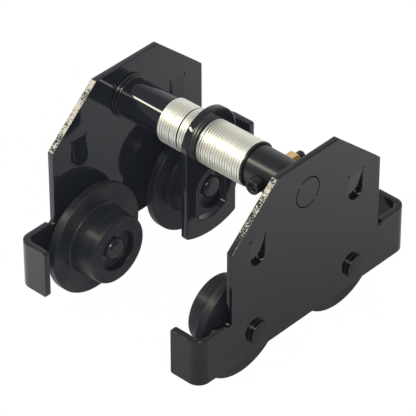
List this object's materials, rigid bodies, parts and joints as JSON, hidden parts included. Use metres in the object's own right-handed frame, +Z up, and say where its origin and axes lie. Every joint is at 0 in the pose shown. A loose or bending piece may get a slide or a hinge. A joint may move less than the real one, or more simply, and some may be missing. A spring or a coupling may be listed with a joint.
{
  "type": "manual beam trolley",
  "caption": "Push beam trolley: folded side plates with flanged wheels on ball bearings, a load shaft with spacer washers and locking bolt, and a swinging hanger plate for a hoist.",
  "frame": {"origin": "on the floor midway between the four wheels, where the bounding box's bottom centre lies", "axes": "+X along the load shaft towards the plate with the cross bolt, +Y along the beam, +Z up as pictured, which is upside down against its use"},
  "size_m": [0.2002, 0.2404, 0.1794],
  "materials": {
    "black_gloss_paint": "gloss black paint over steel",
    "black_wheel_paint": "gloss black paint over turned cast steel",
    "bright_zinc": "bright zinc plate",
    "yellow_zinc": "yellow chromated zinc plate",
    "black_oxide_steel": "black oxide",
    "bearing_steel": "ground",
    "seal_rubber": "moulded"
  },
  "bodies": {
    "frame": {"axle_pin_front_left": "black_gloss_paint", "axle_pin_front_right": "black_gloss_paint", "axle_pin_rear_left": "black_gloss_paint", "axle_pin_rear_right": "black_gloss_paint", "axle_spacer_front_left": "black_gloss_paint", "axle_spacer_front_right": "black_gloss_paint", "axle_spacer_rear_left": "black_gloss_paint", "axle_spacer_rear_right": "black_gloss_paint", "bearing_inner_ring_front_left": "bearing_steel", "bearing_inner_ring_front_right": "bearing_steel", "bearing_inner_ring_rear_left": "bearing_steel", "bearing_inner_ring_rear_right": "bearing_steel", "load_shaft": "black_gloss_paint", "lock_bolt": "black_oxide_steel", "lock_nut": "yellow_zinc", "side_plate_left": "black_gloss_paint", "side_plate_right": "black_gloss_paint", "sleeve_end_washer": "black_gloss_paint", "sleeve_left": "black_gloss_paint", "sleeve_right": "black_gloss_paint", "sleeve_weld_left": "black_gloss_paint", "sleeve_weld_right": "black_gloss_paint", "spacer_washers_left": "bright_zinc", "spacer_washers_right": "bright_zinc"},
    "hanger": {"hanger_plate": "black_gloss_paint"},
    "wheel_front_left": {"wheel_front_left": "black_wheel_paint", "bearing_outer_ring_front_left": "bearing_steel", "bearing_balls_front_left": "bearing_steel", "bearing_seals_front_left": "seal_rubber", "retaining_ring_front_left": "black_oxide_steel"},
    "wheel_rear_left": {"wheel_rear_left": "black_wheel_paint", "bearing_outer_ring_rear_left": "bearing_steel", "bearing_balls_rear_left": "bearing_steel", "bearing_seals_rear_left": "seal_rubber", "retaining_ring_rear_left": "black_oxide_steel"},
    "wheel_front_right": {"wheel_front_right": "black_wheel_paint", "bearing_outer_ring_front_right": "bearing_steel", "bearing_balls_front_right": "bearing_steel", "bearing_seals_front_right": "seal_rubber", "retaining_ring_front_right": "black_oxide_steel"},
    "wheel_rear_right": {"wheel_rear_right": "black_wheel_paint", "bearing_outer_ring_rear_right": "bearing_steel", "bearing_balls_rear_right": "bearing_steel", "bearing_seals_rear_right": "seal_rubber", "retaining_ring_rear_right": "black_oxide_steel"}
  },
  "joints": [
    {"name": "hanger_swing", "type": "hinge", "parent": "frame", "child": "hanger", "pos_m": [-0.0057, 0, 0.1486], "axis": [1, 0, 0], "continuous": true},
    {"name": "wheel_front_left_spin", "type": "hinge", "parent": "frame", "child": "wheel_front_left", "pos_m": [-0.066, -0.0556, 0.0475], "axis": [1, 0, 0], "continuous": true},
    {"name": "wheel_rear_left_spin", "type": "hinge", "parent": "frame", "child": "wheel_rear_left", "pos_m": [-0.066, 0.0556, 0.0475], "axis": [1, 0, 0], "continuous": true},
    {"name": "wheel_front_right_spin", "type": "hinge", "parent": "frame", "child": "wheel_front_right", "pos_m": [0.066, -0.0556, 0.0475], "axis": [1, 0, 0], "continuous": true},
    {"name": "wheel_rear_right_spin", "type": "hinge", "parent": "frame", "child": "wheel_rear_right", "pos_m": [0.066, 0.0556, 0.0475], "axis": [1, 0, 0], "continuous": true}
  ]
}
